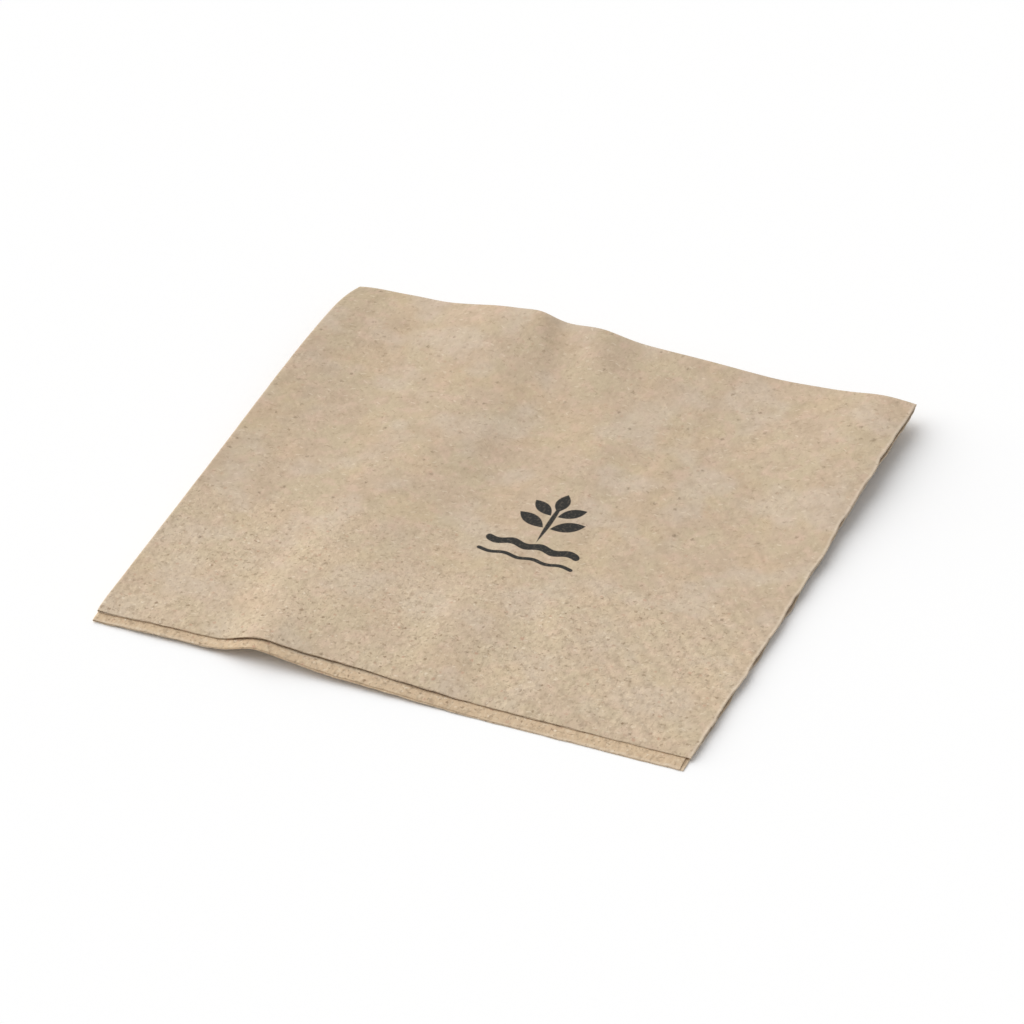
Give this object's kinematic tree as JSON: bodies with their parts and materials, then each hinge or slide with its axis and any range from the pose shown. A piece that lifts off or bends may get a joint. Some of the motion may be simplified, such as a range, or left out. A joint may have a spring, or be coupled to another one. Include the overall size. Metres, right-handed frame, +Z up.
{
  "type": "paper napkin",
  "caption": "Square cocktail napkin of embossed kraft tissue, quarter-folded flat with loose wavy edges, for wiping or to set cutlery on.",
  "frame": {"origin": "centre of the bounding box's underside, on the table", "axes": "+Z up from the table, +Y from the open front edges towards the second fold, +X from the first fold towards the open side edges"},
  "size_m": [0.1, 0.1014, 0.0049],
  "materials": {
    "kraft_tissue": "matte, finely embossed"
  },
  "bodies": {
    "root": {"napkin": "kraft_tissue"}
  },
  "joints": []
}
